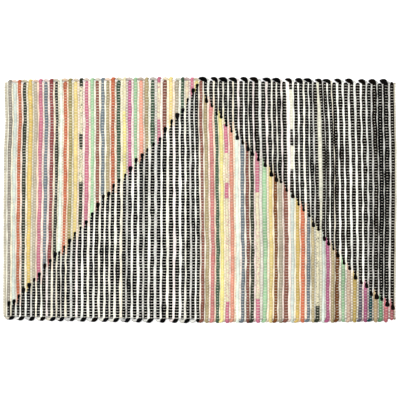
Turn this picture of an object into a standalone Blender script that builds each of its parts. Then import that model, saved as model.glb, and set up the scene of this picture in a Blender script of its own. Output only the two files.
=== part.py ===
"""A flat woven rag rug: cotton rags laid side by side as picks across a cotton warp.

X runs along the rug, Y along the picks, Z up. All sizes are in metres. The cloth lies flat on
z = 0 with the origin under its middle.
"""

import math

import bmesh
import bpy
from mathutils import Vector, noise

LENGTH = 0.7955  # end to end, along X, before the ends lean
WIDTH = 0.500  # selvedge to selvedge at the widest place, along Y
THICKNESS = 0.0062  # at the crest of a rag
VALLEY = 0.0047  # thickness in the groove between two rags
PICKS = 148  # rags side by side along the length, coloured or black ones and cream ones in turn

# Uneven rags
RAG_UNEVENNESS = 0.22  # share by which one rag is wider than the next
WANDER = 0.0016  # how far a line between two rags strays sideways
WANDER_LENGTH = 0.120  # distance over which it strays

# Rounded rim
RIM_HEIGHT = 0.0030  # height of the widest part of the selvedge
END_HEIGHT = 0.0028  # height of the outermost rag's side
RIM_RUN = 0.0045  # distance over which the selvedge rounds down
FOOT_INSET = 0.0010  # how far the underside stays inside the rim
CORNER_DROP = 0.0040  # the corners are rounded off by this much
CORNER_RUN = 0.0080  # within this distance of an end

# Loops where a rag turns back at the selvedge: a coloured or black one and a cream one, beside
# each other, for every four picks
LOOP_PICKS = 4
LOOP_REACH = 0.0022
UPPER_LOOP = 3.8  # the pick, counted from the -X end, at which the first loops stand out furthest
LOWER_LOOPS = (3.8, 1.8)  # the same, on the -X half and on the +X half

# The selvedges bow: (share of the length at the widest place, drop at -X end, drop at +X end)
UPPER_BOW = (0.38, 0.0060, 0.0075)
LOWER_BOW = (0.62, 0.0065, 0.0020)
# The ends lean and bend: (lean over the width, bend to either side)
MINUS_X_END = (0.0060, 0.0015)
PLUS_X_END = (0.0010, 0.0010)

# Rows of points from one selvedge to the other, as shares of the width between the two rims
INNER_ROWS = 7
# Columns of points for every rag: a groove, then the two shoulders of its rounded back
PROFILE = ((0.0, VALLEY), (0.30, THICKNESS), (0.70, THICKNESS))
COLUMNS = len(PROFILE) * PICKS


def pick_lines():
    """X of the lines between neighbouring rags, from the -X end to the +X end."""
    widths = [1 + RAG_UNEVENNESS * noise.noise(Vector((1.7 * i, 0.5, 0.3))) for i in range(PICKS)]
    scale = LENGTH / sum(widths)
    lines = [-LENGTH / 2]
    for width in widths:
        lines.append(lines[-1] + width * scale)
    return lines


def bow(share, shape):
    """How far a selvedge falls short of its widest place, at a share of the length."""
    crest, first_drop, last_drop = shape
    if share < crest:
        return first_drop * ((crest - share) / crest) ** 1.5
    return last_drop * ((share - crest) / (1 - crest)) ** 1.5


def loop_reach(pick, first):
    """How far the loops stand out of the selvedge, at a pick counted in fractions."""
    phase = 2 * math.pi * (pick - first) / LOOP_PICKS
    return LOOP_REACH * (1 + math.cos(phase)) / 2


def corner(x):
    """How far the rounded corners draw a selvedge in, near an end."""
    inside = max(0.0, LENGTH / 2 - abs(x))
    return CORNER_DROP * max(0.0, 1 - inside / CORNER_RUN) ** 2


def selvedge(x, pick, upper):
    """Y of a selvedge at x."""
    lower_loop = LOWER_LOOPS[pick > PICKS / 2]
    shape, first = (UPPER_BOW, UPPER_LOOP) if upper else (LOWER_BOW, lower_loop)
    share = min(max(x / LENGTH + 0.5, 0.0), 1.0)
    reach = WIDTH / 2 - LOOP_REACH - bow(share, shape) - corner(x) + loop_reach(pick, first)
    return reach if upper else -reach


def end_shift(x, across):
    """How far the leaning, bent ends carry the cloth along X, at a share of the width."""
    def shift(end):
        lean, bend = end
        return lean * across + bend * math.sin(2 * math.pi * across)

    share = x / LENGTH + 0.5
    return (1 - share) * shift(MINUS_X_END) + share * shift(PLUS_X_END)


def wander(x, y):
    """How far a line between two rags strays along X."""
    inside = min(1.0, (LENGTH / 2 - abs(x)) / CORNER_RUN)
    place = Vector((x / WANDER_LENGTH * 2, y / WANDER_LENGTH, 4.0))
    return WANDER * inside * noise.noise(place)


def row_shares():
    """Where the rows of points lie between the selvedges: 0 and 1 are the rims."""
    rim = RIM_RUN / WIDTH
    inner = [rim + (1 - 2 * rim) * k / (INNER_ROWS - 1) for k in range(INNER_ROWS)]
    return [0.0] + inner + [1.0]


def surface_point(column, row, lines, shares):
    """A point of the ribbed upper surface."""
    rag, station = divmod(column, len(PROFILE))
    part, height = PROFILE[station]
    pick = rag + part
    x = lines[rag] if station == 0 else lines[rag] + part * (lines[rag + 1] - lines[rag])
    low, high = selvedge(x, pick, False), selvedge(x, pick, True)
    y = low + (high - low) * shares[row]
    if row in (0, len(shares) - 1):
        height = RIM_HEIGHT
    if column in (0, COLUMNS):
        height = min(height, END_HEIGHT)
    return Vector((x + wander(x, y) + end_shift(x, y / WIDTH), y, height))


def ribbed_top(mesh):
    """A grid with one rounded rib for each rag, shaped as the rug's upper surface."""
    lines, shares = pick_lines(), row_shares()
    rows = len(shares) - 1
    grid = bmesh.ops.create_grid(mesh, x_segments=COLUMNS, y_segments=rows, size=0.5)
    for vert in grid["verts"]:
        column = round((vert.co.x + 0.5) * COLUMNS)
        row = round((vert.co.y + 0.5) * rows)
        vert.co = surface_point(column, row, lines, shares)


def flat_foot(mesh):
    """Draws the rim down to the floor, a little inwards, and closes the flat underside."""
    rim = [edge for edge in mesh.edges if edge.is_boundary]
    drawn = bmesh.ops.extrude_edge_only(mesh, edges=rim)["geom"]
    for vert in (item for item in drawn if isinstance(item, bmesh.types.BMVert)):
        vert.co.x *= 1 - FOOT_INSET / (LENGTH / 2)
        vert.co.y *= 1 - FOOT_INSET / (WIDTH / 2)
        vert.co.z = 0.0
    foot = [item for item in drawn if isinstance(item, bmesh.types.BMEdge) and item.is_boundary]
    bmesh.ops.contextual_create(mesh, geom=foot)


def centre(mesh):
    """Puts the origin under the middle of the rug's box."""
    low = [min(vert.co[axis] for vert in mesh.verts) for axis in (0, 1)]
    high = [max(vert.co[axis] for vert in mesh.verts) for axis in (0, 1)]
    middle = Vector(((low[0] + high[0]) / 2, (low[1] + high[1]) / 2, 0.0))
    bmesh.ops.translate(mesh, vec=-middle, verts=mesh.verts)


def cotton_material():
    """Washed cotton rags: matt, and ivory on the whole."""
    material = bpy.data.materials.new("cotton_rags")
    material.use_nodes = True
    shader = material.node_tree.nodes["Principled BSDF"]
    shader.inputs["Base Color"].default_value = (0.56, 0.51, 0.43, 1.0)
    shader.inputs["Roughness"].default_value = 0.92
    shader.inputs["Metallic"].default_value = 0.0
    return material


def make_rug():
    """The rug as one closed solid."""
    shape = bmesh.new()
    ribbed_top(shape)
    flat_foot(shape)
    centre(shape)
    bmesh.ops.recalc_face_normals(shape, faces=shape.faces)
    mesh = bpy.data.meshes.new("rug")
    shape.to_mesh(mesh)
    shape.free()
    mesh.materials.append(cotton_material())
    return bpy.data.objects.new("rug", mesh)


def main():
    """Clears the scene and builds the rug in its own collection."""
    for thing in list(bpy.data.objects):
        bpy.data.objects.remove(thing)
    parts = bpy.data.collections.new("rag_rug")
    bpy.context.scene.collection.children.link(parts)
    parts.objects.link(make_rug())


main()
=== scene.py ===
"""The looks of a hand-woven cotton rag rug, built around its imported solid.

The rug is woven here as the real one is. Cotton rags (the picks) lie side by side across it, and
thin cotton warp threads run along it, over one rag and under the next. X runs along the warp, Y
along the rags, Z up. Sizes are in metres unless a name says millimetres.
"""

from __future__ import annotations

import logging
from dataclasses import dataclass, field
from enum import Enum

import bmesh
import bpy
import numpy as np
from bpy.types import Material, Node, NodeSocket, NodeTree, Object
from mathutils import Matrix, Vector, noise


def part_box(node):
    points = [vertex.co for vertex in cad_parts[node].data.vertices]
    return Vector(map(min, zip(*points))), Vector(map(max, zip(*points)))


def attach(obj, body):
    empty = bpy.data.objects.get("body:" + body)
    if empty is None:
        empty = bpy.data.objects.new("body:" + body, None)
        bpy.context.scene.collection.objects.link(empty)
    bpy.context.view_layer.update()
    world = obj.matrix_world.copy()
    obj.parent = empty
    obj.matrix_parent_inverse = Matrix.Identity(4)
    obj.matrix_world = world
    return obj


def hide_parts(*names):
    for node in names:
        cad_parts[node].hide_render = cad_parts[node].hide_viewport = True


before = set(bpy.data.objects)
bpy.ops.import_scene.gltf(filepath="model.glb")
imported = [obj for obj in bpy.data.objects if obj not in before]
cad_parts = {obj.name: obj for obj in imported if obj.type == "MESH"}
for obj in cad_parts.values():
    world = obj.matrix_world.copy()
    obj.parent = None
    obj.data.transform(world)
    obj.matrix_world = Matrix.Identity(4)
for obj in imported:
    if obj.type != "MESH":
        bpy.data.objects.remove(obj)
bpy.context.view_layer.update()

log = logging.getLogger("rag_rug")
Array = np.ndarray
MM = 0.001
WAVE_REPEAT = 0.314  # a wave texture of scale 1 repeats at this distance
COTTON_GLOSS = 0.06  # next to none
WELD = 0.002 * MM  # the points of a tube that are closer than this are one


class Dye(Enum):
    """The colours of the rags and threads, as sRGB hex values."""

    BLACK = "#060607"
    BLUE_BLACK = "#08090F"
    BROWN_BLACK = "#120B07"
    WASHED_BLACK = "#100F0E"
    GREEN_BLACK = "#3A3E32"
    WHITE = "#F0F0EA"
    IVORY = "#F0EEE4"
    CREAM = "#EEE8D8"
    MINT_WHITE = "#D8E0D4"
    MINT_GREY = "#C4CCC4"
    PRINT_GROUND = "#D6D0B4"
    PINK_WHITE = "#EFE6E3"
    GREY_WHITE = "#D4D4D0"
    KHAKI_WHITE = "#D8D6C6"
    PEACH = "#C4AC88"
    BEIGE = "#B8B2A0"
    GREY = "#9A948A"
    TAUPE = "#AAA290"
    KHAKI = "#AC9F7C"
    OLIVE = "#A09668"
    RUST = "#B86E50"
    ORANGE = "#BE7254"
    SALMON = "#D69A86"
    RED_PINK = "#C48480"
    PINK = "#C07A8C"
    MAGENTA = "#B2688A"
    ROSE = "#BC747A"
    ROSEWOOD = "#8C4A4A"
    MAROON = "#84584C"
    BROWN = "#7C502E"
    MUSTARD = "#CAB26E"
    YELLOW = "#D6C488"
    PALE_YELLOW = "#DED492"
    MINT = "#A0C09C"
    GREEN = "#74A07A"
    DARK_GREEN = "#485C4A"
    SLATE = "#707A80"
    SLATE_PURPLE = "#64626C"
    TEAL = "#2C565A"
    THREAD = "#EDEAE0"


class Cloth(Enum):
    """Which piece of the model a rag belongs to. Each holds the rags of one family of colours."""

    BLACK_LEFT = "black_rags_left"
    BLACK_RIGHT = "black_rags_right"
    CREAM_ONE = "cream_rags_one"
    CREAM_TWO = "cream_rags_two"
    CREAM_THREE = "cream_rags_three"
    RED = "red_and_orange_rags"
    PINK = "pink_rags"
    YELLOW = "yellow_rags"
    GREEN = "green_rags"
    BLUE = "blue_rags"
    BROWN = "brown_rags"
    NEUTRAL = "grey_and_khaki_rags"
    PRINT = "printed_rags"


FAMILIES: dict[Cloth, tuple[Dye, ...]] = {
    Cloth.RED: (Dye.RUST, Dye.ORANGE, Dye.SALMON, Dye.RED_PINK),
    Cloth.PINK: (Dye.PINK, Dye.MAGENTA, Dye.ROSE, Dye.PEACH),
    Cloth.YELLOW: (Dye.MUSTARD, Dye.YELLOW, Dye.PALE_YELLOW),
    Cloth.GREEN: (Dye.MINT, Dye.GREEN, Dye.DARK_GREEN, Dye.MINT_WHITE, Dye.MINT_GREY),
    Cloth.BLUE: (Dye.SLATE, Dye.SLATE_PURPLE, Dye.TEAL, Dye.GREEN_BLACK),
    Cloth.BROWN: (Dye.MAROON, Dye.BROWN, Dye.ROSEWOOD),
    Cloth.NEUTRAL: (Dye.GREY, Dye.TAUPE, Dye.KHAKI, Dye.OLIVE, Dye.BEIGE),
}

# The coloured rags from the -X end to the +X end, as a weaver charts them: the dye, and the width
# in mm that the rag takes up together with the cream rag on its +X side. Here and below they are
# counted from 0, and a black rag has the number of the coloured one that it takes over from.
CHART: tuple[tuple[Dye, float], ...] = (
    (Dye.BEIGE, 8.5), (Dye.GREY, 10.0), (Dye.MINT_GREY, 9.5), (Dye.RUST, 10.0),
    (Dye.GREEN_BLACK, 12.0), (Dye.MUSTARD, 11.0), (Dye.TAUPE, 10.0), (Dye.PINK, 11.5),
    (Dye.SLATE, 11.5), (Dye.ROSEWOOD, 10.5), (Dye.GREEN_BLACK, 9.0), (Dye.MINT_WHITE, 9.0),
    (Dye.ORANGE, 10.0), (Dye.OLIVE, 11.0), (Dye.YELLOW, 11.0), (Dye.GREEN_BLACK, 11.5),
    (Dye.PINK, 12.0), (Dye.MINT, 10.5), (Dye.MAROON, 11.0), (Dye.SLATE, 10.5), (Dye.KHAKI, 10.0),
    (Dye.RUST, 11.5), (Dye.DARK_GREEN, 12.5), (Dye.PALE_YELLOW, 10.5), (Dye.MAGENTA, 11.5),
    (Dye.MINT, 12.0), (Dye.SALMON, 10.5), (Dye.KHAKI, 12.0), (Dye.DARK_GREEN, 13.0),
    (Dye.PINK, 11.5), (Dye.MAROON, 13.5), (Dye.YELLOW, 12.5), (Dye.TAUPE, 12.0),
    (Dye.DARK_GREEN, 10.5), (Dye.ROSE, 10.5), (Dye.PINK, 9.5), (Dye.PALE_YELLOW, 9.5),
    (Dye.MAROON, 8.5), (Dye.KHAKI, 11.0), (Dye.RED_PINK, 11.0), (Dye.DARK_GREEN, 8.5),
    (Dye.PALE_YELLOW, 10.5), (Dye.PINK, 10.0), (Dye.SALMON, 10.5), (Dye.MINT_WHITE, 11.0),
    (Dye.SLATE, 10.5), (Dye.MAROON, 9.0), (Dye.GREEN_BLACK, 10.5), (Dye.PINK, 15.0),
    (Dye.MINT, 12.5), (Dye.YELLOW, 10.0), (Dye.BROWN, 10.0), (Dye.TAUPE, 10.5), (Dye.MAROON, 14.0),
    (Dye.MINT_GREY, 10.5), (Dye.MUSTARD, 10.5), (Dye.ORANGE, 12.0), (Dye.SLATE, 9.0),
    (Dye.KHAKI, 9.5), (Dye.GREEN_BLACK, 12.5), (Dye.MINT_GREY, 8.0), (Dye.MAGENTA, 10.0),
    (Dye.KHAKI, 8.5), (Dye.BROWN, 12.0), (Dye.MINT, 11.0), (Dye.ROSE, 12.0), (Dye.MUSTARD, 12.5),
    (Dye.SLATE_PURPLE, 11.5), (Dye.MAGENTA, 11.0), (Dye.TEAL, 10.0), (Dye.PEACH, 11.0),
    (Dye.GREEN, 10.5), (Dye.ROSE, 13.5), (Dye.ROSE, 10.0),
)
PRINTED = (15, 23, 29, 34, 42, 48, 59, 65)  # the ones of these that are cut from a print

# The two diagonals where a coloured rag gives way to a black one, as (x, y) in metres
LEFT_DIAGONAL = (
    (-0.395, -0.217), (-0.326, -0.146), (-0.275, -0.093), (-0.224, -0.028),
    (-0.179, 0.030), (-0.108, 0.107), (-0.037, 0.186), (-0.004, 0.241),
)
RIGHT_DIAGONAL = (
    (0.000, 0.250), (0.012, 0.200), (0.053, 0.150), (0.116, 0.080), (0.187, 0.003),
    (0.240, -0.066), (0.303, -0.148), (0.346, -0.190), (0.387, -0.221),
)

# How far the beaten rags lie askew, in mm along X: a row for each place across the rug, with a
# number for each place along it
ASKEW_ALONG = (-0.395, -0.29, -0.19, -0.07, 0.0, 0.14, 0.21, 0.25, 0.31, 0.36, 0.39)
ASKEW_ACROSS = (-0.23, -0.11, 0.0, 0.11, 0.17, 0.23)
ASKEW = (
    (-0.5, -4.0, -2.0, -1.5, 0.5, 1.0, 0.0, 0.0, 1.5, -1.5, -2.5),
    (0.0, -3.5, -2.0, 0.0, 1.5, 2.0, 0.5, 0.0, 2.0, -1.0, -1.0),
    (0.0, 0.0, 0.0, 0.0, 0.0, 0.0, 0.0, 0.0, 0.0, 0.0, 0.0),
    (1.0, 1.0, 0.5, 0.5, -1.0, 0.0, -3.0, -2.0, -1.5, -1.5, 0.0),
    (4.0, 2.5, 0.0, 0.0, -3.0, -2.0, -2.5, -4.0, -3.0, -4.0, -1.5),
    (2.0, 1.0, 0.0, 0.5, -2.5, -2.5, -4.0, -6.5, -5.0, -4.0, -2.5),
)

# Lines between two rags that a thick lump in a rag pushes aside: the line, with the -X end as 0,
# the middle and half the length of the lump across the rug, and the push in mm
LUMPS = (
    (119, 0.11, 0.10, -0.7), (120, 0.11, 0.10, 3.2), (121, 0.12, 0.10, 3.0), (122, 0.12, 0.10, 2.4),
    (123, 0.12, 0.10, 2.2), (124, 0.12, 0.09, 1.6), (125, 0.12, 0.09, 1.4), (126, 0.12, 0.09, 0.8),
    (127, 0.12, 0.09, 0.6),
    (108, 0.18, 0.05, 2.0), (108, 0.09, 0.03, 2.0), (44, -0.08, 0.02, 2.0), (64, -0.10, 0.03, 2.0),
    (38, 0.16, 0.02, -2.0), (52, -0.17, 0.03, 1.5), (90, -0.12, 0.03, 1.5), (132, 0.05, 0.03, 1.5),
)
# Places where a coloured or black rag is wide or bunched, or narrow where the growth is less than
# nothing: the rag, the middle and half the length of the place across the rug, and how far each
# of its two lines moves outwards in mm
BULGES = (
    (2, 0.05, 0.25, 0.5), (5, 0.08, 0.20, 0.9), (14, 0.15, 0.16, 0.7),
    (49, -0.10, 0.20, 0.3), (50, 0.125, 0.008, 0.9), (52, 0.209, 0.009, 0.9),
    (58, 0.070, 0.012, 1.2), (59, 0.221, 0.016, 1.3), (64, 0.099, 0.014, 1.6),
    (63, 0.139, 0.008, 1.0), (67, 0.158, 0.010, 1.0), (68, 0.127, 0.006, 1.4),
    (68, 0.067, 0.006, 1.4), (69, 0.025, 0.008, 0.9), (72, 0.056, 0.010, 1.0),
    (64, 0.209, 0.012, 1.0), (56, 0.034, 0.006, 1.0), (25, -0.038, 0.006, 1.1),
    (31, -0.058, 0.014, 1.2), (28, -0.025, 0.006, 1.2), (24, -0.180, 0.020, 0.7),
    (25, -0.178, 0.030, 0.8), (30, -0.227, 0.008, 1.3), (32, -0.099, 0.008, 1.0),
    (34, -0.099, 0.006, 1.2), (22, -0.146, 0.020, 1.0), (19, -0.111, 0.006, 1.0),
    (33, -0.225, 0.020, -1.0), (65, -0.072, 0.012, 1.0), (68, -0.034, 0.010, 0.9),
    (63, 0.005, 0.012, 0.9), (67, 0.000, 0.010, 0.9), (71, 0.02, 0.15, 0.5),
    (59, -0.045, 0.010, 0.9),
)
# Stretches where a black rag gives way to a white one: the rag, and from where to where across
# the rug
WHITENED = ((54, 0.1435, 0.225), (54, 0.062, 0.109))
# Stretches where a printed rag shows its plain dyed part: the coloured rag, and from where to
# where across the rug
DYED = (
    (15, 0.23, 0.26), (15, 0.104, 0.134), (15, -0.05, 0.035), (23, -0.26, 0.18),
    (29, 0.238, 0.26), (29, 0.1, 0.165), (42, -0.26, -0.205), (42, 0.003, 0.036),
    (42, 0.095, 0.155), (48, -0.26, -0.2), (48, 0.015, 0.1), (59, -0.26, -0.215),
)
TINTED_PRINTS = {65: 0.45}  # a printed rag whose cream ground is dyed too, and how strongly
RIGHT_FIRST = 38  # the coloured rag that starts the right-hand field
WHOLE_RAGS = (0, 37)  # these keep their colour from selvedge to selvedge
GREY_CREAM = 68  # the cream rags from the one after this coloured one on are greyish
WIDE_CREAM = 59  # the cream rag after this coloured one is the thick one in the right-hand field


def linear(dye: Dye) -> tuple[float, float, float, float]:
    """Turns a dye's sRGB hex value to linear light.

    Args:
        dye: the colour.

    Returns:
        Red, green, blue and an alpha of 1.
    """
    levels = [int(dye.value[k : k + 2], 16) / 255 for k in (1, 3, 5)]
    red, green, blue = (x / 12.92 if x <= 0.04045 else ((x + 0.055) / 1.055) ** 2.4 for x in levels)
    return red, green, blue, 1.0


def feed(tree: NodeTree, node: Node, inputs: dict) -> None:
    """Feeds a node's inputs.

    Args:
        tree: the node tree.
        node: the node.
        inputs: input name or number to the socket that feeds it, or to a fixed value.
    """
    for name, value in inputs.items():
        if isinstance(value, NodeSocket):
            tree.links.new(value, node.inputs[name])
        else:
            node.inputs[name].default_value = value


def add_node(tree: NodeTree, kind: str, inputs: dict | None = None, **settings: object) -> Node:
    """Adds one node, sets it and links its inputs.

    Args:
        tree: the node tree.
        kind: the node's type, without the leading "ShaderNode".
        inputs: what feeds it, as in feed.
        settings: the node's own properties.

    Returns:
        The new node.
    """
    node = tree.nodes.new("ShaderNode" + kind)
    for name, value in settings.items():
        setattr(node, name, value)
    feed(tree, node, inputs or {})
    return node


def new_surface(name: str) -> tuple[Material, NodeTree, Node]:
    """Starts a material.

    Args:
        name: what the real surface is.

    Returns:
        The material, its node tree and its Principled shader.
    """
    material = bpy.data.materials.new(name)
    material.use_nodes = True
    tree = material.node_tree
    return material, tree, tree.nodes["Principled BSDF"]


@dataclass(frozen=True)
class JerseyRag:
    """Washed cotton jersey, cut to strips: matt, soft and creased lengthwise by the weaving."""

    name: str = "washed_cotton_rag"
    crease_length_mm: float = 14.0
    crease_width_mm: float = 1.8
    mottle_mm: float = 9.0
    # How uneven the dye is, and also how deep the painted shade darkens the creases
    mottle_and_crease_shade: float = 0.16
    crease_depth_mm: float = 0.5
    roughness: float = 0.9

    def creases(self, tree: NodeTree) -> NodeSocket:
        """Lengthwise creases, in the rag's own map of metres.

        Args:
            tree: the material's node tree.

        Returns:
            A socket that gives 0 to 1.
        """
        run = add_node(tree, "UVMap", uv_map="RagRun")
        scale = (1 / (self.crease_length_mm * MM), 1 / (self.crease_width_mm * MM), 1.0)
        stretched = add_node(tree, "Mapping", {"Vector": run.outputs["UV"], "Scale": scale})
        creased = {"Vector": stretched.outputs["Vector"], "Scale": 1.0, "Detail": 3.0}
        return add_node(tree, "TexNoise", creased).outputs["Fac"]

    def colour(self, tree: NodeTree) -> NodeSocket:
        """The rag's dye, uneven from washing, and darkened in the creases by painted shade.

        Args:
            tree: the material's node tree.

        Returns:
            A socket that gives the colour.
        """
        dye = add_node(tree, "Attribute", attribute_name="dye")
        place = add_node(tree, "TexCoord")
        scale = 1 / (self.mottle_mm * MM)
        cloudy = {"Vector": place.outputs["Object"], "Scale": scale, "Detail": 4.0}
        cloud = add_node(tree, "TexNoise", cloudy)
        spread = {"Value": cloud.outputs["Fac"], "From Min": 0.3, "From Max": 0.7,
                  "To Min": 1 - self.mottle_and_crease_shade, "To Max": 1 + self.mottle_and_crease_shade / 2}
        level = add_node(tree, "MapRange", spread)
        # Painted shade: the colour is darkened along the creases, the same ones that the bump
        # raises
        fold = {"Value": self.creases(tree), "From Min": 0.3, "From Max": 0.6,
                "To Min": 1 - self.mottle_and_crease_shade, "To Max": 1.0}
        painted_shade = add_node(tree, "MapRange", fold)
        both = add_node(tree, "Math", {0: level.outputs["Result"], 1: painted_shade.outputs["Result"]},
                        operation="MULTIPLY")
        mottled_and_shaded = add_node(tree, "VectorMath", {0: self.ground(tree, dye.outputs["Color"]),
                                             "Scale": both.outputs["Value"]}, operation="SCALE")
        return mottled_and_shaded.outputs["Vector"]

    def ground(self, tree: NodeTree, dye: NodeSocket) -> NodeSocket:
        """The dyed cloth before its mottle and its painted crease shade: one colour."""
        return dye

    def material(self) -> Material:
        """Builds the material.

        Returns:
            The new material.
        """
        material, tree, shader = new_surface(self.name)
        colour, crease = self.colour(tree), self.creases(tree)
        rough = add_node(tree, "MapRange", {"Value": crease, "To Min": self.roughness + 0.06,
                                            "To Max": self.roughness - 0.08})
        relief = {"Height": crease, "Strength": 0.7, "Distance": self.crease_depth_mm * MM}
        bump = add_node(tree, "Bump", relief)
        feed(tree, shader, {"Base Color": colour, "Roughness": rough.outputs["Result"],
                            "Normal": bump.outputs["Normal"], "Specular IOR Level": COTTON_GLOSS})
        return material


@dataclass(frozen=True)
class PrintedRag(JerseyRag):
    """Printed cotton: a cream ground with small flecks, which gives way to plain dye in places."""

    name: str = "printed_cotton_rag"
    fleck_pitch_mm: float = 3.2

    def ground(self, tree: NodeTree, dye: NodeSocket) -> NodeSocket:
        """A cream cloth with flecks of the dye, or the dye alone where the attribute's alpha is 1.

        Args:
            tree: the material's node tree.
            dye: the colour of the flecks.

        Returns:
            A socket that gives the colour before its mottle and its painted crease shade.
        """
        run = add_node(tree, "UVMap", uv_map="RagRun")
        flecked = {"Vector": run.outputs["UV"], "Scale": 1 / (self.fleck_pitch_mm * MM)}
        cell = add_node(tree, "TexVoronoi", flecked)
        fleck = add_node(tree, "MapRange", {"Value": cell.outputs["Distance"], "From Min": 0.42,
                                            "From Max": 0.26, "To Max": 0.8})
        plain = add_node(tree, "Attribute", attribute_name="dye").outputs["Alpha"]
        share = add_node(tree, "Math", {0: fleck.outputs["Result"], 1: plain}, operation="MAXIMUM")
        mixed = {0: share.outputs["Value"], 6: linear(Dye.PRINT_GROUND), 7: dye}
        cloth = add_node(tree, "Mix", mixed, data_type="RGBA")
        return cloth.outputs[2]


@dataclass(frozen=True)
class TwistedThread:
    """Plied cotton warp: dull, with the twist of its plies and stains of the dyes it lies on."""

    name: str = "plied_cotton_warp"
    twist_mm: float = 2.4  # coarser than the real twist, so that it shows
    twist_depth_mm: float = 0.15
    ply_painted_shade: float = 0.12  # painted shade: how much darker it is between its plies
    roughness: float = 0.85

    def material(self) -> Material:
        """Builds the material.

        Returns:
            The new material.
        """
        material, tree, shader = new_surface(self.name)
        place = add_node(tree, "TexCoord")
        slant = {"Vector": place.outputs["Object"], "Rotation": (0.0, 0.0, 0.8)}
        turned = add_node(tree, "Mapping", slant)
        plied = {"Vector": turned.outputs["Vector"], "Scale": WAVE_REPEAT / (self.twist_mm * MM),
                 "Distortion": 1.0}
        ply = add_node(tree, "TexWave", plied)
        dye = add_node(tree, "Attribute", attribute_name="dye")
        # Painted shade: the thread's colour is darker in the grooves between its plies
        painted_shade = add_node(tree, "MapRange", {"Value": ply.outputs["Fac"], "To Min": 1 - self.ply_painted_shade})
        darkened = {0: dye.outputs["Color"], "Scale": painted_shade.outputs["Result"]}
        spun = add_node(tree, "VectorMath", darkened, operation="SCALE")
        spread = {"To Min": self.roughness + 0.1, "To Max": self.roughness - 0.05}
        rough = add_node(tree, "MapRange", {"Value": ply.outputs["Fac"], **spread})
        bump = add_node(tree, "Bump", {"Height": ply.outputs["Fac"], "Strength": 0.5,
                                       "Distance": self.twist_depth_mm * MM})
        colour = spun.outputs["Vector"]
        feed(tree, shader, {"Base Color": colour, "Roughness": rough.outputs["Result"],
                            "Normal": bump.outputs["Normal"], "Specular IOR Level": COTTON_GLOSS})
        return material


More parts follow.
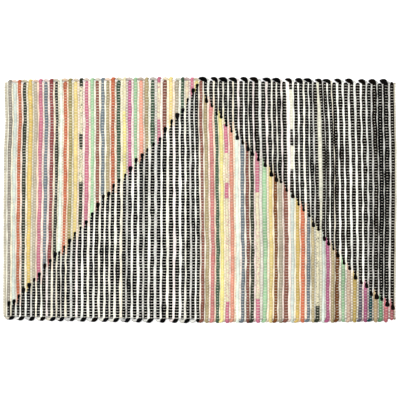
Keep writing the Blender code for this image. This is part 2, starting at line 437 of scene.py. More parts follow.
@dataclass
class Weave:
    """Where the rags and threads lie: the rug's plan, with its bowed selvedges and uneven rags."""

    box_low: Vector
    box_high: Vector
    threads: int = 170  # fewer and wider than the real ones, so that each shows in a small picture
    selvedge_depth: float = 9.0 * MM  # from the outermost thread to the tip of a loop
    pair: float = 10.8  # the usual width in mm of a coloured or black rag and its cream one
    cream: float = 4.55  # of which the cream one takes this much
    cream_growth: float = 0.7  # and this share of what a wider pair has more
    overlap: float = 0.45  # the other rags cover this much of the cream ones before them
    right_squeeze: float = 0.45  # in the right-hand field it takes this much less
    end_first: int = 70  # from this coloured rag on to the +X end
    end_squeeze: float = 1.7  # it takes this much less again
    last_cream: float = 3.3  # the outermost one at the +X end
    stray: float = 1.0 * MM  # how far a rag's edges stray sideways
    stray_length: float = 22.0 * MM
    calm: int = 3  # the strays of so many lines die away towards an end
    upper_bow: tuple[float, float, float] = (0.38, 6.0 * MM, 6.8 * MM)
    lower_bow: tuple[float, float, float] = (0.62, 6.5 * MM, 2.0 * MM)
    bow_power: float = 1.5
    corner_drop: float = 4.0 * MM  # the corners are rounded off by this much
    corner_run: float = 8.0 * MM  # within this distance of an end
    length: float = 0.7985
    samples: int = 201
    shares: Array = field(init=False)
    base: Array = field(init=False)
    edges: Array = field(init=False)

    def __post_init__(self) -> None:
        """Works out the lines between the rags."""
        self.shares = np.linspace(0.0, 1.0, self.samples)
        self.base = self.even_lines()
        self.edges = self.uneven_lines()

    @property
    def picks(self) -> int:
        """How many rags lie side by side."""
        return 2 * len(CHART)

    @property
    def middle(self) -> float:
        """Height of the middle of the cloth."""
        return (self.box_low.z + self.box_high.z) / 2

    def even_lines(self) -> Array:
        """The lines between neighbouring rags, before they stray.

        Returns:
            X of each line, from the -X end.
        """
        widths = []
        for index, (_, pair) in enumerate(CHART):
            cream = self.cream + self.cream_growth * (pair - self.pair)
            cream -= self.right_squeeze * (index > RIGHT_FIRST)
            cream -= self.end_squeeze * (index >= self.end_first)
            if index == len(CHART) - 1:
                cream = self.last_cream
            widths += [pair - cream, cream]
        lines = np.concatenate(([0.0], np.cumsum(widths)))
        lines[2:-1:2] -= self.overlap
        return (lines / lines[-1] - 0.5) * self.length

    def uneven_lines(self) -> Array:
        """The same lines as they stray, lie askew and bulge.

        Returns:
            X by line and by sampled share of the width.
        """
        lines = np.zeros((self.picks + 1, self.samples))
        across = (self.shares - 0.5) * (self.box_high.y - self.box_low.y)
        for k, x in enumerate(self.base):
            inside = min(k, self.picks - k, self.calm) / self.calm
            # Quick strays and slow ones. The steps and layers keep them, and the lines, apart.
            stray = 1.3 * self.waves(k * 7.31, across, 1.0, 1.7)
            stray += self.waves(k * 3.17, across, 0.3, 8.2)
            lines[k] = x + self.askew(x, across) + inside * self.stray * stray
        for line, middle, half, push in LUMPS:
            lines[line] += push * MM * np.exp(-(((across - middle) / half) ** 4))
        for index, middle, half, growth in BULGES:
            push = growth * MM * np.exp(-(((across - middle) / half) ** 2))
            lines[2 * index] -= push
            lines[2 * index + 1] += push
        return lines

    def waves(self, row: float, across: Array, rate: float, layer: float) -> Array:
        """Smooth unevenness of one line, from -1 to 1, with waves that come at this rate."""
        places = (Vector((row, rate * y / self.stray_length, layer)) for y in across)
        return np.array([noise.noise(place) for place in places])

    def askew(self, x: float, across: Array) -> Array:
        """How far the rags lie askew at x, for places across the rug."""
        rows = [np.interp(x, ASKEW_ALONG, row) for row in ASKEW]
        return np.interp(across, ASKEW_ACROSS, rows) * MM

    def reach(self, x: Array, upper: bool) -> Array:
        """How far the outermost thread lies from the rug's middle line.

        Args:
            x: where along the rug.
            upper: at the +Y selvedge, otherwise at the -Y one.

        Returns:
            The distance, for each x.
        """
        crest, first, last = self.upper_bow if upper else self.lower_bow
        share = np.clip(np.asarray(x) / self.length + 0.5, 0.0, 1.0)
        before = first * (np.maximum(crest - share, 0.0) / crest) ** self.bow_power
        after = last * (np.maximum(share - crest, 0.0) / (1 - crest)) ** self.bow_power
        inside = np.maximum(self.length / 2 - np.abs(x), 0.0)
        corner = self.corner_drop * np.maximum(0.0, 1 - inside / self.corner_run) ** 2
        return self.box_high.y - self.selvedge_depth - before - after - corner

    def edge_x(self, line: int, thread: Array) -> Array:
        """X of the line between two rags, at places counted in warp threads."""
        share = np.asarray(thread) / (self.threads - 1)
        return np.interp(share, self.shares, self.edges[line])

    def y_at(self, x: Array, thread: Array) -> Array:
        """Y of a place counted in warp threads, at x."""
        low, high = -self.reach(x, False), self.reach(x, True)
        return low + (high - low) * np.asarray(thread) / (self.threads - 1)


def distances(line: Array) -> Array:
    """How far along a line each of its points lies."""
    steps = np.linalg.norm(np.diff(line, axis=0), axis=1)
    return np.concatenate(([0.0], np.cumsum(steps)))


def tubes(
    name: str, shapes: list[Array], runs: list[Array], dyes: list[Array]
) -> Object:
    """Makes one mesh of closed tubes, each wrapped from a grid and gathered at its ends.

    The tubes lie side by side in both UV maps: OFBake holds each once, and RagRun is in metres.

    Args:
        name: the piece's name.
        shapes: for each tube, its points as an array of rings, sides and coordinates.
        runs: for each tube, the distance along it of each ring, in metres.
        dyes: for each tube, the colour of each ring.

    Returns:
        The new object.
    """
    shape = bmesh.new()
    for place, points in enumerate(shapes):
        rings, sides = points.shape[:2]
        bmesh.ops.create_grid(shape, x_segments=rings - 1, y_segments=sides, size=0.5,
                              matrix=Matrix.Translation((0.0, 0.0, place)))
    mesh = bpy.data.meshes.new(name)
    shape.to_mesh(mesh)
    shape.free()

    flat = np.zeros(len(mesh.vertices) * 3, np.float32)
    mesh.vertices.foreach_get("co", flat)
    flat = flat.reshape(-1, 3)
    which = np.rint(flat[:, 2]).astype(int)
    solid = np.zeros_like(flat)
    atlas, metres = np.zeros((len(flat), 2), np.float32), np.zeros((len(flat), 2), np.float32)
    tint = np.ones((len(flat), 4), np.float32)
    edge, gap, step = 0.002, 0.06, 0.1  # the margins of a tube in OFBake, and its band in RagRun
    for place, points in enumerate(shapes):
        mine = np.flatnonzero(which == place)
        rings, sides = points.shape[:2]
        ring = np.rint((flat[mine, 0] + 0.5) * (rings - 1)).astype(int)
        side = np.rint((flat[mine, 1] + 0.5) * sides).astype(int)
        solid[mine] = points[ring, side % sides]
        middle = points[rings // 2]
        girth = np.linalg.norm(middle - np.roll(middle, 1, axis=0), axis=1).sum()
        metres[mine] = np.stack([runs[place][ring], place * step + side / sides * girth], axis=1)
        along = (runs[place][ring] - runs[place][0]) / max(np.ptp(runs[place]), 1e-6)
        band = (place + gap + (1 - 2 * gap) * side / sides) / len(shapes)
        atlas[mine] = np.stack([edge + (1 - 2 * edge) * along, band], axis=1)
        tint[mine] = dyes[place][ring]
    mesh.vertices.foreach_set("co", solid.ravel())
    corner = np.zeros(len(mesh.loops), np.int32)
    mesh.loops.foreach_get("vertex_index", corner)
    for layer, found in (("OFBake", atlas), ("RagRun", metres)):
        mesh.uv_layers.new(name=layer).uv.foreach_set("vector", found[corner].ravel())
    mesh.color_attributes.new("dye", "FLOAT_COLOR", "POINT").data.foreach_set("color", tint.ravel())

    closed = bmesh.new()
    closed.from_mesh(mesh)
    bmesh.ops.remove_doubles(closed, verts=closed.verts, dist=WELD)
    bmesh.ops.recalc_face_normals(closed, faces=closed.faces)
    closed.to_mesh(mesh)
    closed.free()
    mesh.shade_smooth()
    piece = bpy.data.objects.new(name, mesh)
    bpy.context.scene.collection.objects.link(piece)
    return piece


@dataclass
class Warp:
    """The warp: threads side by side along the rug, over one rag and under the next."""

    weave: Weave
    cloth_dyes: Array  # the colour of the rag at each pick and thread
    finish: TwistedThread = TwistedThread()
    stain: float = 0.65  # share of a thread's colour that has run out of a light rag under it
    half_width: float = 1.08 * MM
    right_share: float = 0.84  # the threads are beaten narrower in the +X half
    crown: float = 0.55 * MM  # from a thread's centreline up to its crest
    belly: float = 0.36 * MM  # and down to its flat side
    lift: float = 2.10 * MM  # how far the centreline rises over a rag and falls under it
    turn_gap: float = 0.6 * MM  # a thread turns down this far inside the outermost rag's side
    turn_run: float = 1.0 * MM  # beyond the outermost rag's middle it runs back by this much
    turn_lift: float = 0.8  # with this share of its lift

    def centreline(self, thread: int) -> Array:
        """One thread's centreline, from its turned -X end to its turned +X end.

        Args:
            thread: the thread, counted from the lower selvedge.

        Returns:
            Its points.
        """
        weave = self.weave
        lines = np.array([weave.edge_x(line, thread) for line in range(weave.picks + 1)])
        middles = (lines[:-1] + lines[1:]) / 2
        over = np.where((np.arange(weave.picks) + thread) % 2 == 0, 1.0, -1.0)
        first, last = lines[0] + self.turn_gap, lines[-1] - self.turn_gap
        turn = [middles[0] + self.turn_run, middles[0], first]
        back = [last, middles[-1], middles[-1] - self.turn_run]
        x = np.concatenate((turn, middles, back))
        turn = [self.turn_lift * -over[0], -over[0], 0.0]
        back = [0.0, -over[-1], self.turn_lift * -over[-1]]
        rise = np.concatenate((turn, over, back))
        y = weave.y_at(x, np.full(len(x), float(thread)))
        return np.stack([x, y, weave.middle + self.lift * rise], axis=1)

    def stains(self, thread: int) -> Array:
        """The colours of a thread, which takes up dye from the rags that it lies on.

        Args:
            thread: the thread, counted from the lower selvedge.

        Returns:
            Linear red, green, blue and alpha of each ring.
        """
        under = self.cloth_dyes[:, thread, :3].copy()
        crossed = (np.arange(self.weave.picks) + thread) % 2 == 0
        where = np.arange(self.weave.picks)
        for channel in range(3):
            under[:, channel] = np.interp(where, where[crossed], under[crossed, channel])
        white = np.array(linear(Dye.THREAD)[:3])
        light = under.max(axis=1, keepdims=True)
        tint = white + self.stain * light * (under - white)
        tint = np.hstack([tint, np.ones((len(tint), 1))])
        return np.pad(tint, ((3, 3), (0, 0)), mode="edge")

    def build(self) -> Object:
        """Builds all the threads as one piece and dresses it.

        Returns:
            The piece.
        """
        section = np.array(
            [(-self.half_width, -self.belly), (self.half_width, -self.belly), (0.0, self.crown)]
        )
        shapes, runs, dyes = [], [], []
        for thread in range(self.weave.threads):
            line = self.centreline(thread)
            points = np.repeat(line[:, None, :], 3, axis=1)
            spread = np.where(line[1:-1, 0] > 0, self.right_share, 1.0)
            points[1:-1, :, 1] += spread[:, None] * section[:, 0]
            points[1:-1, :, 2] += section[:, 1]
            shapes.append(points)
            runs.append(distances(line))
            dyes.append(self.stains(thread))
        piece = tubes("warp_threads", shapes, runs, dyes)
        piece.data.materials.append(self.finish.material())
        return piece


class Side(Enum):
    """The two selvedges."""

    LOWER = -1
    UPPER = 1


class End(Enum):
    """How a rag ends at a selvedge. Each step of its course beyond the last thread is its place
    across in picks, how far out it lies in mm, its height in mm from the middle of the cloth, and
    its share of the loop's half width.
    """

    CAP = (
        (0.0, 1.2, 1.0, 1.05), (-0.25, 2.8, 1.6, 1.4), (-0.75, 4.1, 1.8, 1.45),
        (-1.35, 5.0, 1.6, 1.15), (-1.95, 5.5, 1.2, 0.7), (-2.45, 5.7, 0.8, 0.0),
    )
    SHORT_CAP = (
        (0.0, 1.2, 0.9, 1.0), (-0.3, 2.6, 1.5, 1.25), (-0.8, 3.8, 1.5, 1.35),
        (-1.4, 4.7, 0.9, 1.05), (-1.9, 5.5, 0.2, 0.5), (-2.2, 6.0, -0.2, 0.0),
    )
    COVER = (
        (-0.2, 1.6, 0.4, 0.9), (-0.6, 3.2, 1.3, 1.1), (-1.2, 4.1, 1.4, 1.15),
        (-1.8, 3.7, 0.9, 0.8), (-2.3, 2.6, 0.0, 0.0),
    )
    TURN = (
        (-0.1, 1.8, 0.5, 0.95), (-0.25, 3.4, 0.5, 1.0), (-0.1, 4.6, -0.2, 0.95),
        (0.5, 4.9, -1.2, 0.7), (0.9, 4.4, -1.7, 0.0),
    )
    HOOK = (
        (-0.1, 1.8, 0.8, 1.0), (-0.35, 3.3, 1.1, 1.05), (-0.8, 4.4, 0.7, 0.85),
        (-1.2, 4.9, -0.2, 0.5), (-1.4, 5.0, -0.7, 0.0),
    )
    PEEK = (
        (0.0, 1.8, 0.0, 1.0), (-0.2, 3.2, -0.4, 1.0), (-0.6, 4.0, -1.0, 0.9),
        (-1.1, 4.2, -1.6, 0.0),
    )
    STUB = ((0.0, 0.2, -0.8, 0.8), (0.0, 0.7, -1.3, 0.5), (0.0, 1.0, -1.6, 0.0))
    TUCK = ((0.1, 1.6, -0.3, 0.9), (0.2, 2.9, -0.9, 0.7), (0.3, 3.6, -1.4, 0.0))


# How four rags in a row end at a selvedge, in the left-hand field and in the right-hand one: a
# coloured or black rag, the cream one beside it, and the next two
ENDS: dict[tuple[Side, bool], tuple[End, ...]] = {
    (Side.UPPER, False): (End.STUB, End.COVER, End.TURN, End.STUB),
    (Side.UPPER, True): (End.CAP, End.PEEK, End.STUB, End.STUB),
    (Side.LOWER, False): (End.SHORT_CAP, End.STUB, End.STUB, End.COVER),
    (Side.LOWER, True): (End.TURN, End.STUB, End.HOOK, End.PEEK),
}
# The first coloured rag whose end is of the right-hand kind
ENDS_CHANGE = {Side.UPPER: RIGHT_FIRST - 1, Side.LOWER: RIGHT_FIRST - 2}


class Splice(Enum):
    """How a spliced rag ends: standing out as a tail, or tucked under. Each step beyond its last
    ring is its place aside in mm, its shares of a tail's length and lift, and its share of the
    rag's half width.
    """

    TAIL = (
        (0.2, 0.2, 0.6, 0.95), (0.6, 0.5, 1.0, 1.15), (1.0, 0.8, 1.0, 1.2), (1.2, 0.95, 0.7, 0.8),
        (1.2, 1.0, 0.4, 0.0),
    )
    UNDER = ((0.0, 0.3, -0.25, 0.8), (0.0, 0.5, -0.4, 0.0))


def whole(half_section: tuple) -> Array:
    """Mirrors a half section: from one side over the crest to the other, then the underside."""
    half, flip = np.array(half_section), (-1, 1)
    return np.vstack([half[2:0:-1] * flip, half, half[3:] * flip])


def joined(side: Side, body: Array, added: Array) -> Array:
    """Joins what one end of a rag adds, listed outwards, to the rag's body."""
    return np.concatenate((body, added) if side is Side.UPPER else (added[::-1], body))


@dataclass
class Rag:
    """One rag of a pick: where it lies, its dye, and how it ends."""

    pick: int
    cloth: Cloth
    dye: Dye
    start: float  # in warp threads, from the lower selvedge
    stop: float
    spliced_start: bool = False
    spliced_stop: bool = False
    tail: bool = False  # its spliced end stands out above the cloth, beside the other rag's


@dataclass
class RagWork:
    """The rags: their sections, their splices on the diagonals and their loops at the selvedges."""

    weave: Weave
    seed: int = 11
    ring_gap: float = 0.6  # from a crossing to the rings on both sides of it, in warp threads
    diagonal_stray: float = 2.0 * MM  # how far a splice lies from its diagonal
    splice_threads: float = 6.0  # a coloured rag runs this far past the diagonal, in warp threads
    black_threads: float = 3.3  # and a black one starts this far past it
    splice_kept: tuple[float, float] = (0.78, 0.55)  # share of the width that a tail or tuck keeps
    splice_lift: tuple[float, float] = (0.5 * MM, -0.6 * MM)  # how high each of the two lies
    taper: float = 0.8  # power by which a spliced rag narrows towards its end
    tail_length: float = 10.0 * MM
    tail_sizes: tuple[float, float] = (0.7, 1.15)  # the smallest and the largest tail, in shares
    tail_lift: float = 1.2 * MM
    pitch: float = 5.4 * MM  # the usual distance between two picks
    loop_half: float = 2.9 * MM  # half the usual width of a rag in a loop
    own_width: float = 0.4  # share of a loop's width that follows its own rag's
    loop_sizes: tuple[float, float] = (0.92, 1.08)
    loose_reach: float = 0.12  # how much the loops differ in reach
    loose_lean: float = 0.15  # and in how far they lean over
    usual_half: float = 2.7 * MM  # a rag of this half width is as high as its section says
    widest: float = 1.25  # one wider than this, in shares of it, gets no higher
    thin: float = 0.45  # share of that height that the thinnest rag has
    crease_wide: float = 0.05  # how far creases push a rag's surface aside, as a share of its width
    crease_tall: float = 0.16  # and up or down, in mm
    run_step: float = 0.37  # each rag's creases start this far along, so that no two are the same
    long_crease: float = 2.6  # how strong the long creases are
    short_crease: float = 0.5  # and the short ones
    crease_rings: int = 15  # a long crease is smooth over so many rings
    fade_rings: int = 61  # and a faded stretch over so many
    fade: float = 0.35  # how strongly a rag's dye fades along it
    batch: float = 0.05  # and from one rag to the next
    foot: float = 0.15 * MM  # the rags lie this far above the floor
    crest: float = 1.5 * MM  # and no higher than this above the solid
    run: float = 0.08  # how far the dyes have run into the cream rags beside them
    strong_run: float = 0.24  # the same, for the yellow, pink and red dyes
    dark: float = 0.2  # a dye darker than this runs as if it were this light
    yellowed: tuple[float, float, float] = (0.97, 0.96, 0.93)  # the stained cream rags' own tint
    shaded_corner_first: int = 60  # from this coloured rag on to the +X end the coloured corner is darkened by painted shade
    corner_painted_shade: float = 0.30  # share of its light that the painted shade takes away
    corner_shade_picks: int = 8  # and it gets there over so many picks
    cream_loop_painted_shade: float = 0.28  # painted shade: the loops of the cream rags are darkened by this much

    # Half sections from the crest round to the underside, as (share of the half width, height in mm
    # from the middle of the cloth)
    bead: tuple = ((0.0, 2.65), (0.78, 1.9), (1.1, 0.1), (0.55, -1.9))
    waist: tuple = ((0.0, 1.5), (0.52, 0.8), (0.84, -0.7), (0.5, -2.7))
    loop: tuple = ((0.0, 1.6), (0.7, 1.15), (1.0, 0.0), (0.55, -1.35))

    def __post_init__(self) -> None:
        """Seeds the unevenness, which is the same in every run, and lists the rags."""
        self.random = np.random.default_rng(self.seed)
        self.rags = self.list_rags()

    def diagonal_thread(self, pick: int, even: bool = False) -> float:
        """Where a pick's colour changes.

        Args:
            pick: the pick, counted from the -X end.
            even: leaves out the small unevenness.

        Returns:
            The place in warp threads.
        """
        weave = self.weave
        x = (weave.base[pick] + weave.base[pick + 1]) / 2
        points = RIGHT_DIAGONAL if pick // 2 >= RIGHT_FIRST else LEFT_DIAGONAL
        y = float(np.interp(x, [p[0] for p in points], [p[1] for p in points]))
        if not even:
            y += self.diagonal_stray * float(self.random.uniform(-1, 1))
        low, high = float(weave.y_at(x, 0.0)), float(weave.y_at(x, weave.threads - 1.0))
        return (y - low) / (high - low) * (weave.threads - 1)

    def family(self, index: int) -> Cloth:
        """The piece that the coloured rag of this number belongs to."""
        found = (cloth for cloth, dyes in FAMILIES.items() if CHART[index][0] in dyes)
        return Cloth.PRINT if index in PRINTED else next(found)

    def dyes(self) -> Array:
        """The colour of the cloth where each warp thread meets each pick.

        Returns:
            Linear red, green, blue and alpha by pick and thread.
        """
        found = np.zeros((self.weave.picks, self.weave.threads, 4))
        threads = np.arange(self.weave.threads)
        for rag in self.rags:
            covered = (threads >= rag.start - 1) & (threads <= rag.stop + 1)
            if rag.spliced_start or rag.spliced_stop:
                low, high = rag.start + 2 * rag.spliced_start, rag.stop - 2 * rag.spliced_stop
                covered = (threads >= low) & (threads <= high)
            shown = Dye.PRINT_GROUND if rag.cloth is Cloth.PRINT else rag.dye
            found[rag.pick, covered] = linear(shown)
        return found

    def list_rags(self) -> list[Rag]:
        """Lays out the rags, pick by pick.

        Returns:
            All the rags.
        """
        found: list[Rag] = []
        last = self.weave.threads - 1.0
        creams = (Cloth.CREAM_ONE, Cloth.CREAM_TWO, Cloth.CREAM_THREE)
        # The first four are the right-hand field's, and the last five the left-hand one's
        blacks = (Dye.BROWN_BLACK, Dye.BLACK, Dye.BROWN_BLACK, Dye.WASHED_BLACK, Dye.BLACK,
                  Dye.BLUE_BLACK)
        whites = (Dye.WHITE, Dye.IVORY, Dye.WHITE, Dye.CREAM, Dye.GREY_WHITE, Dye.PINK_WHITE,
                  Dye.WHITE)
        for index, (dye, _) in enumerate(CHART):
            pick, cloth = 2 * index, self.family(index)
            right = index >= RIGHT_FIRST
            black = blacks[int(self.random.integers(0, 4) if right else self.random.integers(1, 6))]
            dark = Cloth.BLACK_RIGHT if right else Cloth.BLACK_LEFT
            if index in WHOLE_RAGS:
                found.append(Rag(pick, cloth, dye, 0.0, last))
            else:
                at, past, gap = self.diagonal_thread(pick), self.splice_threads, self.black_threads
                if right:
                    found += [Rag(pick, cloth, dye, 0.0, at + past, False, True),
                              Rag(pick, dark, black, at + gap, last, True, False, tail=True)]
                else:
                    found += [Rag(pick, dark, black, 0.0, at - gap, False, True, tail=True),
                              Rag(pick, cloth, dye, at - past, last, True, False)]
            white = whites[int(self.random.integers(len(whites)))]
            if index == WIDE_CREAM:
                white = Dye.KHAKI_WHITE
            if index >= GREY_CREAM:
                white = Dye.GREY_WHITE
            # Painted shade: the outermost cream rag at the +X end is beige for the shade along its
            # rounded edge
            if index == len(CHART) - 1:
                white = Dye.BEIGE
            found.append(Rag(pick + 1, creams[index % 3], white, 0.0, last))
        return found

    def end(self, pick: int, side: Side) -> End:
        """How the rag of a pick ends at a selvedge.

        Args:
            pick: the pick, counted from the -X end.
            side: the selvedge.

        Returns:
            The course of its end.
        """
        index = pick // 2
        if index in (0, len(CHART) - 1):
            return End.TUCK
        return ENDS[side, index >= ENDS_CHANGE[side]][pick % 4]

    def body(self, rag: Rag) -> tuple[Array, Array]:
        """The rings of a rag between the selvedges.

        Args:
            rag: the rag.

        Returns:
            Each ring's place in warp threads, and 1 where a thread crosses over it, otherwise 0.
        """
        threads = np.arange(self.weave.threads)
        over = threads[(threads + rag.pick) % 2 == 0].astype(float)
        over = over[(over >= rag.start - 0.5) & (over <= rag.stop + 0.5)]
        place = (over[:, None] + self.ring_gap * np.array([-1.0, 0.0, 1.0])).ravel()
        crossed = np.tile([0.0, 1.0, 0.0], len(over))
        return place, crossed

    def shape(self, rag: Rag) -> tuple[Array, Array, Array]:
        """The whole of one rag: its rings between the selvedges, then its two ends.

        Args:
            rag: the rag.

        Returns:
            The points by ring and side, the distance of each ring along the rag, and its colours.
        """
        weave = self.weave
        place, crossed = self.body(rag)
        left, right = weave.edge_x(rag.pick, place), weave.edge_x(rag.pick + 1, place)
        centre, half = (left + right) / 2, (right - left) / 2
        share, shift, lift = self.splice(rag, place)
        x = centre + shift * half
        line = np.stack([x, weave.y_at(centre, place), weave.middle + lift], axis=1)
        half = half * share
        looped = np.zeros(len(place))
        for side in Side:
            spliced, last = (rag.spliced_stop, -1) if side is Side.UPPER else (rag.spliced_start, 0)
            finish = self.tail_end if spliced else self.loop_end
            added, girth = finish(rag, line[last], half[last], side)
            flat = np.full(len(added), 0.0 if spliced else 1.0)
            line, half = joined(side, line, added), joined(side, half, girth)
            looped, crossed = joined(side, looped, flat), joined(side, crossed, 0 * flat)
        return self.skin(rag, line, half, looped, crossed)

    def splice(self, rag: Rag, place: Array) -> tuple[Array, Array, Array]:
        """How a rag gives way to the one that it is spliced to.

        Args:
            rag: the rag.
            place: its rings, in warp threads.

        Returns:
            The share of its width that it keeps, its sideways shift in half widths, and its lift.
        """
        share, shift, lift = np.ones(len(place)), np.zeros(len(place)), np.zeros(len(place))
        ends = ((rag.spliced_start, place - rag.start), (rag.spliced_stop, rag.stop - place))
        for spliced, inward in ends:
            if not spliced:
                continue
            way = np.clip(inward / self.splice_threads, 0.0, 1.0)
            least, rise = self.splice_kept[not rag.tail], self.splice_lift[not rag.tail]
            kept = least + (1 - least) * way**self.taper
            share = np.minimum(share, kept)
            shift += (1 - kept) * (1.0 if rag.tail else -1.0)
            lift += (1 - way) ** 2 * rise
        return share, shift, lift

    def tail_end(self, rag: Rag, end: Array, width: float, side: Side) -> tuple[Array, Array]:
        """The end of a spliced rag: a tail that stands out of the cloth, or one tucked under.

        Args:
            rag: the rag.
            end: the last point of its centreline so far.
            width: its half width there.
            side: which end.

        Returns:
            The added points of its centreline and their half widths, outwards.
        """
        size = float(self.random.uniform(*self.tail_sizes))
        out = self.tail_length * size * side.value
        steps = (Splice.TAIL if rag.tail else Splice.UNDER).value
        moves = [(aside * MM, part * out, up * self.tail_lift) for aside, part, up, _ in steps]
        return end + np.array(moves), np.array([wide * size * width for *_, wide in steps])

    def loop_end(self, rag: Rag, end: Array, width: float, side: Side) -> tuple[Array, Array]:
        """The end of a rag at a selvedge: its share of the loop to its partner, or a tucked end.

        Args:
            rag: the rag.
            end: the last point of its centreline so far.
            width: its half width there.
            side: which selvedge.

        Returns:
            The added points of its centreline and their half widths, outwards.
        """
        last = self.weave.threads - 1.0 if side is Side.UPPER else 0.0
        out = float(self.weave.y_at(end[0], last + self.ring_gap * side.value)) - end[1]
        across, outward, up, share = np.array(self.end(rag.pick, side).value).T
        loose = 1 + self.loose_reach * float(self.random.uniform(-1, 1))
        x = end[0] + across * self.pitch * (1 + self.loose_lean * float(self.random.uniform(-1, 1)))
        y = end[1] + out + side.value * outward * loose * MM
        points = np.stack([x, y, self.weave.middle + up * MM], axis=1)
        usual = self.own_width * width + (1 - self.own_width) * self.loop_half
        return points, share * usual * float(self.random.uniform(*self.loop_sizes))

    def skin(
        self, rag: Rag, line: Array, half: Array, looped: Array, crossed: Array
    ) -> tuple[Array, Array, Array]:
        """Lays a rag's sections around its centreline.

        Args:
            rag: the rag.
            line: its centreline.
            half: the half width of each ring.
            looped: 1 where a ring is in a loop, 0 in the cloth.
            crossed: 1 where a thread crosses over a ring.

        Returns:
            The points by ring and side, the distance of each ring along the rag, and its colours.
        """
        rings = len(line)
        tangent = np.gradient(line[:, :2], axis=0)
        tangent /= np.maximum(np.linalg.norm(tangent, axis=1, keepdims=True), 1e-9)
        sideways = np.stack([tangent[:, 1], -tangent[:, 0]], axis=1)
        bead, waist, loop = (whole(part) for part in (self.bead, self.waist, self.loop))
        section = bead + crossed[:, None, None] * (waist - bead)
        section = section + looped[:, None, None] * (loop - section)
        size = self.thin + (1 - self.thin) * np.clip(half / self.usual_half, 0.0, self.widest)
        wobble = self.crumple(rings, section.shape[1])
        wide = section[:, :, 0] * (1 + self.crease_wide * wobble) * half[:, None]
        tall = section[:, :, 1] * size[:, None] + self.crease_tall * np.roll(wobble, 2, axis=1)
        tall *= MM * (half > 0)[:, None]
        wide[[0, -1]], tall[[0, -1]] = 0.0, 0.0
        points = np.zeros((rings, section.shape[1], 3))
        points[:, :, :2] = line[:, None, :2] + sideways[:, None, :] * wide[:, :, None]
        floor, roof = self.weave.box_low.z + self.foot, self.weave.box_high.z + self.crest
        points[:, :, 2] = np.clip(line[:, None, 2] + tall, floor, roof)
        run = distances(line) + self.run_step * rag.pick
        return points, run, self.tints(rag, line[:, 1], looped)

    def crumple(self, rings: int, sides: int) -> Array:
        """How a rag's creased surface strays from an even one, smooth along the rag.

        Args:
            rings: how many rings the rag has.
            sides: how many points each ring has.

        Returns:
            The stray of each point, mostly between -1 and 1.
        """
        spare = (self.crease_rings + 1) // 2
        rough = self.random.normal(size=(rings + 2 * spare, sides))
        kernel = np.hanning(self.crease_rings)
        kernel *= self.long_crease / kernel.sum()
        slow = [np.convolve(rough[:, side], kernel, "valid") for side in range(sides)]
        return self.short_crease * rough[spare:-spare] + np.stack(slow, axis=1)[1 : rings + 1]

    def tints(self, rag: Rag, y: Array, looped: Array) -> Array:
        """A rag's colour along its length: one dye, a little uneven. Alpha is 0 where it's printed.

        Args:
            rag: the rag.
            y: Y of each ring.
            looped: 1 where a ring is in a loop, 0 in the cloth.

        Returns:
            Linear red, green, blue and alpha of each ring.
        """
        rough = self.random.normal(size=len(y) + self.fade_rings - 1)
        kernel = np.hanning(self.fade_rings)
        slow = np.convolve(rough, kernel / kernel.sum(), "valid")[: len(y)]
        tint = np.tile(np.array(linear(rag.dye)), (len(y), 1))
        tint[:, :3] *= 1 + self.fade * slow[:, None] + self.batch * float(self.random.normal())
        if rag.pick % 2 == 1:
            # Painted shade on the loops of the cream rags
            tint[:, :3] *= 1 - self.cream_loop_painted_shade * looped[:, None]
            tint = self.run_in(rag, tint)
        # Painted shade: the coloured corner at the +X end is darkened, growing over its first few
        # picks
        if rag.pick >= 2 * self.shaded_corner_first and not rag.tail:
            at = self.diagonal_thread(rag.pick, even=True)
            place = np.linspace(rag.start, rag.stop, len(tint))
            depth = min(1.0, (rag.pick - 2 * self.shaded_corner_first) / self.corner_shade_picks) * self.corner_painted_shade
            tint[:, :3] *= 1 - depth * (place < at)[:, None]
        for index, low, high in WHITENED:
            if 2 * index == rag.pick and rag.tail:
                tint[(y > low) & (y < high)] = linear(Dye.KHAKI_WHITE)
        if rag.cloth is Cloth.PRINT:
            tint[:, 3] = TINTED_PRINTS.get(rag.pick // 2, 0.0)
            for index, low, high in DYED:
                if 2 * index == rag.pick:
                    tint[(y > low) & (y < high), 3] = 1.0
        return tint

    def run_in(self, rag: Rag, tint: Array) -> Array:
        """Lets the dyes of the coloured rags on both sides run into a cream rag a little.

        Args:
            rag: the cream rag.
            tint: its colours, which are changed.

        Returns:
            The same colours, stained.
        """
        beside = [found for found in self.rags if found.pick in (rag.pick - 1, rag.pick + 1)]
        share = np.linspace(0.0, self.weave.threads - 1.0, len(tint))
        for other in beside:
            if other.cloth in (Cloth.BLACK_LEFT, Cloth.BLACK_RIGHT):
                continue
            strong = other.cloth in (Cloth.YELLOW, Cloth.PINK, Cloth.RED)
            run = self.strong_run if strong else self.run
            near = ((share >= other.start) & (share <= other.stop))[:, None] * run
            colour = np.array(linear(other.dye))[:3]
            tint[:, :3] *= 1 - near * (1 - colour / max(colour.max(), self.dark))
            tint[:, :3] *= np.where(near > 0, self.yellowed, 1.0)
        return tint

    def build(self) -> list[Object]:
        """Builds the rags, one piece for each family of cloth, and dresses them.

        Returns:
            The pieces.
        """
        plain, printed = JerseyRag().material(), PrintedRag().material()
        made = {cloth: [] for cloth in Cloth}
        for rag in self.rags:
            made[rag.cloth].append(self.shape(rag))
        pieces = []
        for cloth, found in made.items():
            shapes, runs, dyes = (list(x) for x in zip(*found))
            piece = tubes(cloth.value, shapes, runs, dyes)
            piece.data.materials.append(printed if cloth is Cloth.PRINT else plain)
            pieces.append(piece)
        return pieces


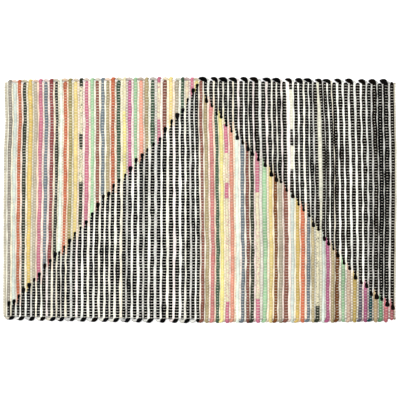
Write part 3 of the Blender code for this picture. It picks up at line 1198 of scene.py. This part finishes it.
@dataclass
class Studio:
    """A pale floor, soft light from above, and a camera that looks straight down."""

    frame_width: float = 0.8143  # what the picture's width covers at the rug
    lens_mm: float = 85.0
    sensor_mm: float = 36.0
    floor_size: float = 6.0
    lamp_place: tuple[float, float, float] = (-0.6, 0.8, 3.2)
    lamp_size: float = 3.0
    lamp_power: float = 110.0
    sky: float = 0.55
    gamma: float = 0.85  # under 1, for the photograph's strong contrast
    exposure: float = 0.28

    def camera(self) -> None:
        """Adds the camera above the rug's middle."""
        data = bpy.data.cameras.new("camera")
        data.lens, data.sensor_width = self.lens_mm, self.sensor_mm
        camera = bpy.data.objects.new("camera", data)
        camera.location = (0.0, 0.0, self.frame_width * self.lens_mm / self.sensor_mm)
        bpy.context.scene.collection.objects.link(camera)
        bpy.context.scene.camera = camera

    def lamp(self) -> None:
        """Adds one wide soft light above and to the upper left."""
        data = bpy.data.lights.new("soft_light", "AREA")
        data.size, data.energy = self.lamp_size, self.lamp_power
        lamp = bpy.data.objects.new("soft_light", data)
        lamp.location = self.lamp_place
        lamp.rotation_euler = (-lamp.location).to_track_quat("-Z", "Y").to_euler()
        bpy.context.scene.collection.objects.link(lamp)

    def world(self) -> None:
        """Adds an even white sky."""
        world = bpy.data.worlds.new("studio")
        world.use_nodes = True
        sky = world.node_tree.nodes["Background"]
        feed(world.node_tree, sky, {"Color": (1.0, 1.0, 1.0, 1.0), "Strength": self.sky})
        bpy.context.scene.world = world

    def floor(self) -> None:
        """Adds the floor, just under the rug."""
        shape = bmesh.new()
        bmesh.ops.create_grid(shape, x_segments=1, y_segments=1, size=self.floor_size / 2)
        mesh = bpy.data.meshes.new("floor")
        shape.to_mesh(mesh)
        shape.free()
        floor = bpy.data.objects.new("floor", mesh)
        bpy.context.scene.collection.objects.link(floor)
        material, tree, shader = new_surface("white_paper_backdrop")
        feed(tree, shader, {"Base Color": (0.92, 0.92, 0.92, 1.0), "Roughness": 0.9})
        mesh.materials.append(material)

    def build(self) -> None:
        """Sets up the whole studio."""
        view = bpy.context.scene.view_settings
        view.view_transform, view.gamma, view.exposure = "Standard", self.gamma, self.exposure
        self.camera()
        self.lamp()
        self.world()
        self.floor()


def triangles(piece: Object) -> int:
    """How many triangles a piece has."""
    return sum(len(face.vertices) - 2 for face in piece.data.polygons)


def main() -> None:
    """Builds the rug and the studio around it."""
    low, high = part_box("rug")
    weave = Weave(low, high)
    Studio().build()
    work = RagWork(weave)
    warp = Warp(weave, work.dyes()).build()
    rags = work.build()
    for piece in (warp, *rags):
        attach(piece, "root")
        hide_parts("rug")
        log.info("%s: %d triangles", piece.name, triangles(piece))
    log.info("in all: %d triangles", sum(map(triangles, (warp, *rags))))


if __name__ == "__main__":
    logging.basicConfig(level=logging.INFO, format="%(name)s %(message)s")
    main()
